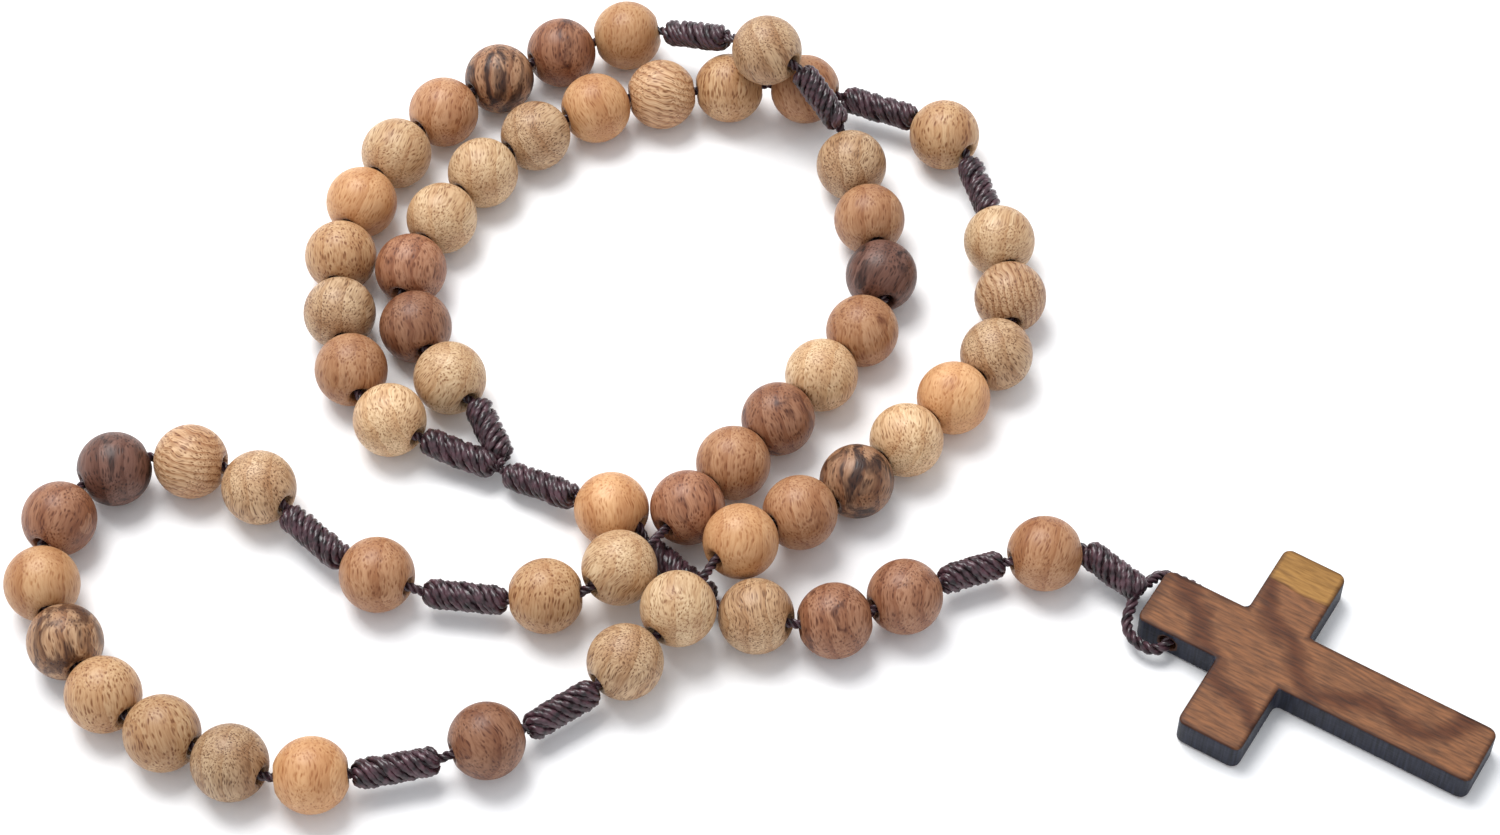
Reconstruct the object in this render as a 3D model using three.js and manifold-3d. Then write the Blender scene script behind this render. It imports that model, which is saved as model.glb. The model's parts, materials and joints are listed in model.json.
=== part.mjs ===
// A five-decade wooden rosary lying on a table: 59 round beads, one dark nylon cord with
// 14 barrel knots tied in it, and a flat wooden cross that hangs on the cord's last loop.
// Millimetres, +Z up. The table is the plane z = 0 and the origin is under the middle of
// the whole rosary.
import * as THREE from "three";
import { mergeVertices } from "three/addons/utils/BufferGeometryUtils.js";
import Module from "manifold-3d";

const wasm = await Module();
wasm.setup();

// ---- Driving dimensions -------------------------------------------------------------

const BEAD_RADIUS = 4.95;
const BEAD_HALF_LENGTH = 4.6; // from a bead's middle to the flat round its bore's mouth
const BORE_RADIUS = 1.2;
const BEAD_SIDES = 12;
const BEAD_POLAR_ANGLES = [43, 66, 90, 114, 137]; // degrees from the bore, between the flats

const CORD_RADIUS = 0.6;
const RING_RADIUS = 0.75; // the cord is doubled where it goes round the cross's top end
const CORD_SIDES = 8;
const MOUTH_LENGTH = 0.4; // the cord bends only in the last bit of each bore
const HINGE_GAP = 0.35; // clear space from a bending point to each cord end

const KNOT_RADIUS = 1.95;
const KNOT_GROOVE_RADIUS = 1.65;
const KNOT_TIP_RADIUS = 1.0;
const KNOT_TIP_LENGTH = 0.8;
const KNOT_WRAPS = 7;
const KNOT_SIDES = 8;

const CROSS_LENGTH = 47;
const CROSS_WIDTH = 31;
const CROSS_ARM_WIDTH = 8.9;
const CROSS_THICKNESS = 4.6;
const CROSS_BAR_FROM_TOP = 16; // from the top end to the middle of the crossbar
const CROSS_CORNER_RADIUS = 1.2;
const CROSS_FILLET_RADIUS = 0.8;
const CROSS_EDGE_ROUND = 0.3;
const CROSS_HOLE_RADIUS = 1.25;
const CROSS_HOLE_FROM_TOP = 4.7;
const CROSS_HOLE_PLACE = new THREE.Vector3(56.1, -33.8, CROSS_THICKNESS / 2);
const CROSS_YAW = -31.6; // degrees, the way that the cross's foot points

const CORD_COLOUR = 0x3a2a2a;
const CROSS_COLOUR = 0x6b4a33;

// The beads are of six woods and cuts, strung in no order.
const WOODS = {
  pale: 0xc9a67c,
  honey: 0xc08f5f,
  orange: 0xb07a4a,
  brown: 0x8d5f3f,
  dark: 0x573a2c,
  figured: 0x7a5138,
};
const DECADE_WOODS = [
  "pale orange honey orange honey pale orange figured dark honey",
  "pale orange dark orange pale brown brown orange pale pale",
  "honey pale dark figured honey figured honey honey pale honey",
  "pale pale honey brown dark pale honey pale figured pale",
  "orange honey pale orange pale pale pale figured dark pale",
].map((row) => row.split(" "));
const OUR_FATHER_WOODS = ["pale", "honey", "brown", "honey", "honey", "orange"];
const PENDANT_WOODS = ["pale", "figured", "brown"];

// ---- How the rosary lies ------------------------------------------------------------

const LOW = BEAD_RADIUS; // a bead that rests on the table

function hail(decade, number) {
  return `decade_${decade}_bead_${String(number).padStart(2, "0")}`;
}

// The loop's route from the junction round the five decades and back. A named point is the
// middle of that bead; a decade's other beads share out the stretches between its named ones.
const LOOP_ROUTE = [
  [-33.2, -10.9, 3.6, "loop start"],
  [-48.2, -4.0, LOW, hail(1, 1)],
  [-53.9, 4.4, LOW, hail(1, 2)],
  [-56.6, 24.0, LOW, hail(1, 4)],
  [-50.0, 42.6, LOW, hail(1, 6)],
  [-36.0, 56.6, LOW, hail(1, 8)],
  [-17.8, 64.9, LOW, hail(1, 10)],
  [-7.2, 61.4, 9.0],
  [2.4, 54.2, 13.7, "our_father_bead_1"],
  [10.0, 48.4, 10.2],
  [14.3, 40.4, LOW, hail(2, 1)],
  [18.1, 20.6, LOW, hail(2, 3)],
  [15.3, 11.0, LOW, hail(2, 4)],
  [-8.2, -18.6, 5.5, hail(2, 8)],
  [-16.9, -28.8, 6.6, hail(2, 9)],
  [-26.4, -32.1, LOW, hail(2, 10)],
  [-48.4, -28.8, LOW, "our_father_bead_2"],
  [-64.8, -15.0, LOW, hail(3, 1)],
  [-74.2, -10.8, LOW, hail(3, 2)],
  [-84.2, -12.0, LOW, hail(3, 3)],
  [-90.6, -20.0, LOW, hail(3, 4)],
  [-91.7, -30.2, LOW, hail(3, 5)],
  [-82.0, -47.0, LOW, hail(3, 7)],
  [-65.1, -57.0, LOW, hail(3, 9)],
  [-54.8, -58.8, LOW, hail(3, 10)],
  [-33.1, -53.8, LOW, "our_father_bead_3"],
  [-15.9, -42.4, 5.4, hail(4, 1)],
  [-9.2, -35.5, 7.2, hail(4, 2)],
  [-1.2, -25.5, 7.8, hail(4, 3)],
  [14.1, -14.0, LOW, hail(4, 5)],
  [33.4, 7.0, LOW, hail(4, 8)],
  [35.7, 16.8, LOW, hail(4, 9)],
  [34.6, 26.7, LOW, hail(4, 10)],
  [27.6, 46.0, LOW, "our_father_bead_4"],
  [7.9, 54.6, LOW, hail(5, 1)],
  [-3.0, 54.8, LOW, hail(5, 2)],
  [-22.0, 51.0, LOW, hail(5, 4)],
  [-37.6, 39.0, LOW, hail(5, 6)],
  [-46.8, 21.7, LOW, hail(5, 8)],
  [-45.6, 11.7, LOW, hail(5, 9)],
  [-40.5, 3.0, LOW, hail(5, 10)],
  [-35.4, -3.8, 4.4],
  [-33.2, -10.9, 3.6, "loop end"],
];

// The pendant's route from the junction to the last knot, which the cross hangs on.
const PENDANT_ROUTE = [
  [-33.2, -10.9, 3.6, "pendant start"],
  [-18.2, -18.5, LOW, "our_father_bead_5"],
  [-13.2, -23.0, 3.0],
  [-5.0, -30.9, 2.8],
  [0.8, -35.2, LOW, "pendant_bead_1"],
  [10.9, -35.9, LOW, "pendant_bead_2"],
  [20.0, -32.2, LOW, "pendant_bead_3"],
  [29.0, -27.6, 4.2],
  [38.4, -25.5, LOW, "our_father_bead_6"],
  [43.6, -24.7, 4.6],
  [50.8, -30.5, 3.2, "pendant end"],
];

// Neighbours that are made as one solid, because they lie in line on a straight stretch.
const JOINED_PAIRS = [
  [2, 5],
  [2, 7],
  [3, 8],
  [4, 5],
];

// Each knot starts a short way past a bead, or past the junction. The knots are thinner than
// the beads, so each sags below the bores by its drop.
const LOOP_KNOTS = [
  { name: "knot_1", past: "loop start", gap: 0.8, length: 10.6, drop: 0.5 },
  { name: "knot_2", past: hail(1, 10), gap: 1.6, length: 11.0, drop: 0.2 },
  { name: "knot_3", past: "our_father_bead_1", gap: 0.9, length: 9.6, drop: 0.0 },
  { name: "knot_4", past: hail(2, 10), gap: 0.4, length: 11.0, drop: 1.0 },
  { name: "knot_5", past: "our_father_bead_2", gap: 0.5, length: 11.2, drop: 0.8 },
  { name: "knot_6", past: hail(3, 10), gap: 0.4, length: 11.0, drop: 1.0 },
  { name: "knot_7", past: "our_father_bead_3", gap: 0.9, length: 10.4, drop: 1.4 },
  { name: "knot_8", past: hail(4, 10), gap: 0.4, length: 10.2, drop: 0.4 },
  { name: "knot_9", past: "our_father_bead_4", gap: 0.5, length: 11.0, drop: 0.4 },
  { name: "knot_10", past: hail(5, 10), gap: 0.4, length: 9.6, drop: 0.5 },
];
const PENDANT_KNOTS = [
  { name: "knot_11", past: "pendant start", gap: 0.8, length: 10.7, drop: 0.8 },
  { name: "knot_12", past: "our_father_bead_5", gap: 2.0, length: 12.0, drop: 0.3 },
  { name: "knot_13", past: "pendant_bead_3", gap: 0.9, length: 8.9, drop: 0.4 },
  { name: "knot_14", past: "our_father_bead_6", gap: 0.9, length: 9.4, drop: 0.2 },
];

// ---- Stringing: where each bead and knot sits along a route ---------------------------

const CURVE_DIVISIONS = 4000;
const AXIS_REACH = 3; // a piece lies along the chord this far to each side of its middle

function makeRoute(points) {
  const curve = new THREE.CatmullRomCurve3(
    points.map(([x, y, z]) => new THREE.Vector3(x, y, z)),
    false,
    "catmullrom",
    0.5,
  );
  curve.arcLengthDivisions = CURVE_DIVISIONS;
  const lengths = curve.getLengths();
  const station = {};
  points.forEach(([, , , name], index) => {
    if (name) {
      station[name] = lengths[Math.round((index / (points.length - 1)) * CURVE_DIVISIONS)];
    }
  });
  return { curve, station, length: curve.getLength() };
}

function pointAt(route, distance) {
  const u = Math.min(Math.max(distance / route.length, 0), 1);
  return route.curve.getPointAt(u);
}

function placeAt(route, distance, reach = AXIS_REACH) {
  const before = pointAt(route, distance - reach);
  const after = pointAt(route, distance + reach);
  return {
    distance,
    centre: pointAt(route, distance),
    axis: after.sub(before).normalize(),
  };
}

// The distance along the route of bead `number`, shared out between the named beads of its
// decade that lie to each side of it.
function hailDistance(route, decade, number) {
  let before = number;
  while (!(hail(decade, before) in route.station)) {
    before -= 1;
  }
  let after = number;
  while (!(hail(decade, after) in route.station)) {
    after += 1;
  }
  const start = route.station[hail(decade, before)];
  const end = route.station[hail(decade, after)];
  const share = after === before ? 0 : (number - before) / (after - before);
  return start + share * (end - start);
}

// A bead never lies lower than on the table.
function singleBead(name, wood, place) {
  place.centre.z = Math.max(place.centre.z, LOW);
  return { name, wood, ...place, halfLength: BEAD_HALF_LENGTH, beadOffsets: [0] };
}

// Two neighbours on one straight axis, as one piece.
function joinedPair(decade, number, wood, first, second) {
  first.centre.z = Math.max(first.centre.z, LOW);
  second.centre.z = Math.max(second.centre.z, LOW);
  const axis = second.centre.clone().sub(first.centre);
  const pitch = axis.length();
  return {
    name: `${hail(decade, number).replace("_bead_", "_beads_")}_${hail(decade, number + 1).slice(-2)}`,
    wood,
    distance: (first.distance + second.distance) / 2,
    centre: first.centre.clone().lerp(second.centre, 0.5),
    axis: axis.normalize(),
    halfLength: BEAD_HALF_LENGTH + pitch / 2,
    beadOffsets: [-pitch / 2, pitch / 2],
  };
}

function strungDecade(route, decade) {
  const woods = DECADE_WOODS[decade - 1];
  const places = woods.map((_, index) => placeAt(route, hailDistance(route, decade, index + 1)));
  const beads = [];
  for (let number = 1; number <= woods.length; number += 1) {
    const wood = woods[number - 1];
    const joined = JOINED_PAIRS.some(([d, n]) => d === decade && n === number);
    if (joined) {
      beads.push(joinedPair(decade, number, wood, places[number - 1], places[number]));
      number += 1;
    } else {
      beads.push(singleBead(hail(decade, number), wood, places[number - 1]));
    }
  }
  return beads;
}

function strungBead(route, name, wood) {
  return singleBead(name, wood, placeAt(route, route.station[name]));
}

function strungKnot(route, { name, past, gap, length, drop }) {
  const clear = past.endsWith("start") ? gap : BEAD_HALF_LENGTH + gap;
  const middle = route.station[past] + clear + length / 2;
  const place = placeAt(route, middle, length / 2);
  place.centre.z -= drop;
  return { name, ...place, halfLength: length / 2, isKnot: true };
}

const loop = makeRoute(LOOP_ROUTE);
const pendant = makeRoute(PENDANT_ROUTE);

const loopBeads = [
  ...[1, 2, 3, 4, 5].flatMap((decade) => strungDecade(loop, decade)),
  ...[1, 2, 3, 4].map((n) => strungBead(loop, `our_father_bead_${n}`, OUR_FATHER_WOODS[n - 1])),
];
const pendantBeads = [
  ...[5, 6].map((n) => strungBead(pendant, `our_father_bead_${n}`, OUR_FATHER_WOODS[n - 1])),
  ...[1, 2, 3].map((n) => strungBead(pendant, `pendant_bead_${n}`, PENDANT_WOODS[n - 1])),
];
const loopKnots = LOOP_KNOTS.map((knot) => strungKnot(loop, knot));
const pendantKnots = PENDANT_KNOTS.map((knot) => strungKnot(pendant, knot));

// ---- Solids: closed meshes and the joins and cuts between them ------------------------

function toManifold(geometry) {
  const bare = geometry.index ? geometry.toNonIndexed() : geometry.clone();
  bare.deleteAttribute("normal");
  bare.deleteAttribute("uv");
  const merged = mergeVertices(bare, 1e-4);
  return new wasm.Manifold(
    new wasm.Mesh({
      numProp: 3,
      vertProperties: merged.attributes.position.array,
      triVerts: new Uint32Array(merged.index.array),
    }),
  );
}

function toGeometry(solid) {
  const mesh = solid.getMesh();
  const geometry = new THREE.BufferGeometry();
  geometry.setAttribute("position", new THREE.BufferAttribute(mesh.vertProperties, 3));
  geometry.setIndex(new THREE.BufferAttribute(mesh.triVerts, 1));
  geometry.computeVertexNormals();
  return geometry;
}

function joined(geometries) {
  return toGeometry(geometries.map(toManifold).reduce((sum, next) => sum.add(next)));
}

function materialOf(colour, roughness) {
  return new THREE.MeshStandardMaterial({ color: colour, roughness, metalness: 0 });
}

function makeMesh(name, geometry, material) {
  const mesh = new THREE.Mesh(geometry, material);
  mesh.name = name;
  return mesh;
}

// Turns a shape made round the Y axis so that it lies along a piece's axis.
function turnToAxis(axis) {
  return new THREE.Quaternion().setFromUnitVectors(new THREE.Vector3(0, 1, 0), axis);
}

// ---- The sub-parts --------------------------------------------------------------------

// A bead is a ball with a flat round each mouth of its bore. Joined beads meet in a short
// neck as wide as those flats.
function beadGeometry(beadOffsets, halfLength) {
  const flatRadius = Math.sqrt(BEAD_RADIUS ** 2 - BEAD_HALF_LENGTH ** 2);
  const profile = [new THREE.Vector2(BORE_RADIUS, -halfLength)];
  for (const offset of beadOffsets) {
    profile.push(new THREE.Vector2(flatRadius, offset - BEAD_HALF_LENGTH));
    for (const degrees of BEAD_POLAR_ANGLES) {
      const angle = THREE.MathUtils.degToRad(degrees);
      const radius = BEAD_RADIUS * Math.sin(angle);
      profile.push(new THREE.Vector2(radius, offset - BEAD_RADIUS * Math.cos(angle)));
    }
    profile.push(new THREE.Vector2(flatRadius, offset + BEAD_HALF_LENGTH));
  }
  profile.push(new THREE.Vector2(BORE_RADIUS, halfLength));
  profile.push(profile[0].clone());
  return new THREE.LatheGeometry(profile, BEAD_SIDES);
}

function makeBead(bead) {
  const geometry = beadGeometry(bead.beadOffsets, bead.halfLength);
  const mesh = makeMesh(bead.name, geometry, materialOf(WOODS[bead.wood], 0.5));
  mesh.position.copy(bead.centre);
  mesh.quaternion.copy(turnToAxis(bead.axis));
  return mesh;
}

// A barrel knot: the cord wound round itself, so its side is a row of ridges.
function knotGeometry(knot) {
  const barrelHalf = knot.halfLength - KNOT_TIP_LENGTH;
  const pitch = (2 * barrelHalf) / KNOT_WRAPS;
  const profile = [
    new THREE.Vector2(0, -knot.halfLength),
    new THREE.Vector2(KNOT_TIP_RADIUS, -knot.halfLength),
  ];
  for (let wrap = 0; wrap < KNOT_WRAPS; wrap += 1) {
    const start = -barrelHalf + wrap * pitch;
    profile.push(new THREE.Vector2(KNOT_GROOVE_RADIUS, start));
    profile.push(new THREE.Vector2(KNOT_RADIUS, start + pitch / 2));
  }
  profile.push(new THREE.Vector2(KNOT_GROOVE_RADIUS, barrelHalf));
  profile.push(new THREE.Vector2(KNOT_TIP_RADIUS, knot.halfLength));
  profile.push(new THREE.Vector2(0, knot.halfLength));
  const geometry = new THREE.LatheGeometry(profile, KNOT_SIDES);
  geometry.applyQuaternion(turnToAxis(knot.axis));
  geometry.translate(knot.centre.x, knot.centre.y, knot.centre.z);
  return geometry;
}

// A path that runs straight from each given point to the next, with a step at each point.
class PolylinePath extends THREE.Curve {
  constructor(points) {
    super();
    this.points = points;
  }

  getPoint(t, target = new THREE.Vector3()) {
    const place = Math.min(Math.max(t, 0), 1) * (this.points.length - 1);
    const index = Math.min(Math.floor(place), this.points.length - 2);
    return target.lerpVectors(this.points[index], this.points[index + 1], place - index);
  }

  getUtoTmapping(u) {
    return u;
  }
}

function cordSection(radius) {
  const section = new THREE.Shape();
  for (let side = 0; side < CORD_SIDES; side += 1) {
    const angle = (side * 2 * Math.PI) / CORD_SIDES;
    const x = radius * Math.cos(angle);
    const y = radius * Math.sin(angle);
    if (side === 0) {
      section.moveTo(x, y);
    } else {
      section.lineTo(x, y);
    }
  }
  section.closePath();
  return section;
}

function cordGeometry(points, radius = CORD_RADIUS) {
  return new THREE.ExtrudeGeometry(cordSection(radius), {
    steps: points.length - 1,
    extrudePath: new PolylinePath(points),
  });
}

// The cord runs straight through each bead and knot and bends in the space between them.
function cordThrough(pieces) {
  const inOrder = [...pieces].sort((a, b) => a.distance - b.distance);
  return inOrder.flatMap((piece) => {
    const reach = piece.halfLength - MOUTH_LENGTH;
    return [
      piece.centre.clone().addScaledVector(piece.axis, -reach),
      piece.centre.clone().addScaledVector(piece.axis, reach),
    ];
  });
}

function endOf(piece, side) {
  return piece.centre.clone().addScaledVector(piece.axis, side * piece.halfLength);
}

function backFrom(point, toward, distance) {
  return point.clone().addScaledVector(toward.clone().sub(point).normalize(), distance);
}

const byName = Object.fromEntries(
  [...loopBeads, ...pendantBeads, ...loopKnots, ...pendantKnots].map((p) => [p.name, p]),
);

// The pendant bends at three points between two pieces, each halfway across their gap.
function bendPoint(before, after) {
  return endOf(byName[before], 1).lerp(endOf(byName[after], -1), 0.5);
}

const BENDS = {
  cord_bend_1: bendPoint("pendant_bead_1", "pendant_bead_2"),
  cord_bend_2: bendPoint("pendant_bead_3", "knot_13"),
  cord_bend_3: bendPoint("our_father_bead_6", "knot_14"),
};

// The closed loop of cord with ten knots, and the start of the pendant with two more.
function makeLoopCord(material) {
  const junction = pointAt(loop, 0);
  const around = cordThrough([...loopBeads, ...loopKnots]);
  const stem = cordThrough(
    ["knot_11", "our_father_bead_5", "knot_12", "pendant_bead_1"].map((name) => byName[name]),
  );
  const stemEnd = backFrom(BENDS.cord_bend_1, byName.pendant_bead_1.centre, HINGE_GAP);
  return makeMesh(
    "loop_cord",
    joined([
      cordGeometry([junction, ...around, junction]),
      cordGeometry([junction, ...stem, stemEnd]),
      ...loopKnots.map(knotGeometry),
      ...["knot_11", "knot_12"].map((name) => knotGeometry(byName[name])),
    ]),
    material,
  );
}

function makePendantCordOne(material) {
  const beads = [byName.pendant_bead_2, byName.pendant_bead_3];
  const start = backFrom(BENDS.cord_bend_1, beads[0].centre, HINGE_GAP);
  const end = backFrom(BENDS.cord_bend_2, beads[1].centre, HINGE_GAP);
  return makeMesh(
    "pendant_cord_1",
    cordGeometry([start, ...cordThrough(beads), end]),
    material,
  );
}

function makePendantCordTwo(material) {
  const bead = byName.our_father_bead_6;
  const knot = byName.knot_13;
  const end = backFrom(BENDS.cord_bend_3, bead.centre, HINGE_GAP);
  return makeMesh(
    "pendant_cord_2",
    joined([cordGeometry([...cordThrough([knot, bead]), end]), knotGeometry(knot)]),
    material,
  );
}

const crossAlong = new THREE.Vector3(1, 0, 0).applyAxisAngle(
  new THREE.Vector3(0, 0, 1),
  THREE.MathUtils.degToRad(CROSS_YAW),
);
const crossAcross = new THREE.Vector3(-crossAlong.y, crossAlong.x, 0);

// A place given along the cross from its top end, across it from its middle, and in height.
function onCross(along, across, height) {
  return CROSS_HOLE_PLACE.clone()
    .addScaledVector(crossAlong, along - CROSS_HOLE_FROM_TOP)
    .addScaledVector(crossAcross, across)
    .setZ(height);
}

// The last knot and the loop of cord that goes out of it, round the end of the cross's top
// arm and through the arm's hole.
function makePendantCordThree(material) {
  const knot = byName.knot_14;
  const holeHeight = CROSS_THICKNESS / 2;
  // Places along the cross from its top end, across it, and in height. One side of the loop is
  // slack, and the other is drawn close to the arm.
  const slackSide = [
    [-2.6, -0.5, 3.0],
    [-1.8, -1.9, 2.9],
    [-1.5, -3.6, 2.7],
    [-0.7, -5.2, 2.5],
    [0.9, -6.3, 2.4],
    [2.9, -6.5, holeHeight],
    [4.3, -5.8, holeHeight],
    [CROSS_HOLE_FROM_TOP, -4.6, holeHeight],
  ];
  const closeSide = [
    [-2.6, 0.5, 3.0],
    [-1.8, 1.9, 2.9],
    [-1.5, 3.3, 2.7],
    [-1.1, 4.4, 2.6],
    [-0.3, 5.1, 2.4],
    [1.0, 5.4, holeHeight],
    [2.6, 5.4, holeHeight],
    [3.8, 5.25, holeHeight],
    [4.45, 4.75, holeHeight],
    [CROSS_HOLE_FROM_TOP, 4.2, holeHeight],
  ];
  const ring = [...closeSide, ...slackSide.reverse()].map((place) => onCross(...place));
  return makeMesh(
    "pendant_cord_3",
    joined([knotGeometry(knot), cordGeometry(ring, RING_RADIUS)]),
    material,
  );
}

// Half the cross's outline, from the middle of its top end down one side to its foot: the
// corners in order, each with the radius that rounds it.
function crossOutline() {
  const half = CROSS_ARM_WIDTH / 2;
  const barTop = CROSS_BAR_FROM_TOP - half;
  const barFoot = CROSS_BAR_FROM_TOP + half;
  const side = [
    { x: 0, y: half, radius: CROSS_CORNER_RADIUS },
    { x: barTop, y: half, radius: CROSS_FILLET_RADIUS },
    { x: barTop, y: CROSS_WIDTH / 2, radius: CROSS_CORNER_RADIUS },
    { x: barFoot, y: CROSS_WIDTH / 2, radius: CROSS_CORNER_RADIUS },
    { x: barFoot, y: half, radius: CROSS_FILLET_RADIUS },
    { x: CROSS_LENGTH, y: half, radius: CROSS_CORNER_RADIUS },
  ];
  const mirrored = side.map((corner) => ({ ...corner, y: -corner.y }));
  return [...side, ...mirrored.reverse()];
}

// Rounds each corner of an outline with a quadratic curve from one side to the next.
function roundedShape(corners) {
  const shape = new THREE.Shape();
  corners.forEach((corner, index) => {
    const before = corners[(index + corners.length - 1) % corners.length];
    const after = corners[(index + 1) % corners.length];
    const here = new THREE.Vector2(corner.x, corner.y);
    const cutTo = (other) => {
      const away = new THREE.Vector2(other.x, other.y).sub(here).normalize();
      return here.clone().addScaledVector(away, corner.radius);
    };
    const start = cutTo(before);
    const end = cutTo(after);
    if (index === 0) {
      shape.moveTo(start.x, start.y);
    } else {
      shape.lineTo(start.x, start.y);
    }
    shape.quadraticCurveTo(here.x, here.y, end.x, end.y);
  });
  shape.closePath();
  return shape;
}

// The flat cross, with the cord's hole bored from side to side through its top arm.
function makeCross() {
  const board = new THREE.ExtrudeGeometry(roundedShape(crossOutline()), {
    depth: CROSS_THICKNESS - 2 * CROSS_EDGE_ROUND,
    bevelThickness: CROSS_EDGE_ROUND,
    bevelSize: CROSS_EDGE_ROUND,
    bevelOffset: -CROSS_EDGE_ROUND,
    bevelSegments: 2,
    curveSegments: 4,
  });
  board.translate(-CROSS_HOLE_FROM_TOP, 0, CROSS_EDGE_ROUND - CROSS_THICKNESS / 2);
  const drill = new THREE.CylinderGeometry(
    CROSS_HOLE_RADIUS,
    CROSS_HOLE_RADIUS,
    2 * CROSS_ARM_WIDTH,
    16,
  );
  const solid = toManifold(board).subtract(toManifold(drill));
  const cross = makeMesh("cross", toGeometry(solid), materialOf(CROSS_COLOUR, 0.6));
  cross.position.copy(CROSS_HOLE_PLACE);
  cross.rotation.z = THREE.MathUtils.degToRad(CROSS_YAW);
  return cross;
}

// ---- The whole rosary -------------------------------------------------------------------

function makeRosary() {
  const cordMaterial = materialOf(CORD_COLOUR, 0.7);
  const rosary = new THREE.Group();
  rosary.name = "rosary";
  rosary.add(makeLoopCord(cordMaterial));
  rosary.add(makePendantCordOne(cordMaterial));
  rosary.add(makePendantCordTwo(cordMaterial));
  rosary.add(makePendantCordThree(cordMaterial));
  [...loopBeads, ...pendantBeads].forEach((bead) => rosary.add(makeBead(bead)));
  rosary.add(makeCross());
  for (const [name, place] of Object.entries({ ...BENDS, cross_swing: CROSS_HOLE_PLACE })) {
    const marker = new THREE.Object3D();
    marker.name = name;
    marker.position.copy(place);
    rosary.add(marker);
  }
  return rosary;
}

const rosary = makeRosary();
const box = new THREE.Box3().setFromObject(rosary, true);
const middle = box.getCenter(new THREE.Vector3());
rosary.position.set(-middle.x, -middle.y, -box.min.z);

export default rosary;
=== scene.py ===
# %% [markdown]
# # A knotted wooden rosary
# Fifty-nine turned wooden beads hang on one length of dark nylon cord. Fourteen barrel knots in the
# cord keep the five decades apart, and a flat wooden cross hangs on the last one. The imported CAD
# model already says where every bead, knot and joint is. This lesson gives each of them the shape
# and the finish that the real one has, and leaves everything in its place.

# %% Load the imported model
import json
import math
import random

import bmesh
import bpy
import numpy as np
from mathutils import Matrix, Vector, noise


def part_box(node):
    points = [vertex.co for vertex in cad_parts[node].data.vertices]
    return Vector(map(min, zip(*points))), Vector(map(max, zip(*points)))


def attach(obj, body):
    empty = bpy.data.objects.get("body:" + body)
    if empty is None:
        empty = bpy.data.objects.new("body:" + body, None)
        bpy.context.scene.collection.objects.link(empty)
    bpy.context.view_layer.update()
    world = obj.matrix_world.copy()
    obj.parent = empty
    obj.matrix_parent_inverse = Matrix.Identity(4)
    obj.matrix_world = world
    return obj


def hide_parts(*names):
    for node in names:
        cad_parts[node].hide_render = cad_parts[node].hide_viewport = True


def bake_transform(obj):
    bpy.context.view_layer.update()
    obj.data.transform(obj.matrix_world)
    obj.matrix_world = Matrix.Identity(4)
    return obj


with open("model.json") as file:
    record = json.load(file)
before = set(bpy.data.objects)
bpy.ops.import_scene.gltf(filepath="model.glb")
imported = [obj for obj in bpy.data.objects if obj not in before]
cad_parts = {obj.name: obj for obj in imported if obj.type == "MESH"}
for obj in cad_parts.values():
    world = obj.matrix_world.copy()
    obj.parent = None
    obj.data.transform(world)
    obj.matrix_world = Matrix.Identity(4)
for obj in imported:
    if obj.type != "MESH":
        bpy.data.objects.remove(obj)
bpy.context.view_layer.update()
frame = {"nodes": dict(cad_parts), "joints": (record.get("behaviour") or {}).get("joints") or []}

MM = 0.001

# %% [markdown]
# ## The route that the cord takes
# A cord is easiest to model from the line that it follows. That line is given by a few dozen places
# on the table, listed with the beads that sit on them. A smooth curve runs through the
# places, and the other beads share out the stretches between the named ones, just as beads on a
# real cord push each other along until they are evenly spaced.

# %% The places on the route, in metres
LOW = 0.00495  # the middle of a bead that rests on the table


def hail(decade, number):
    return f"decade_{decade}_bead_{number:02d}"


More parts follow.
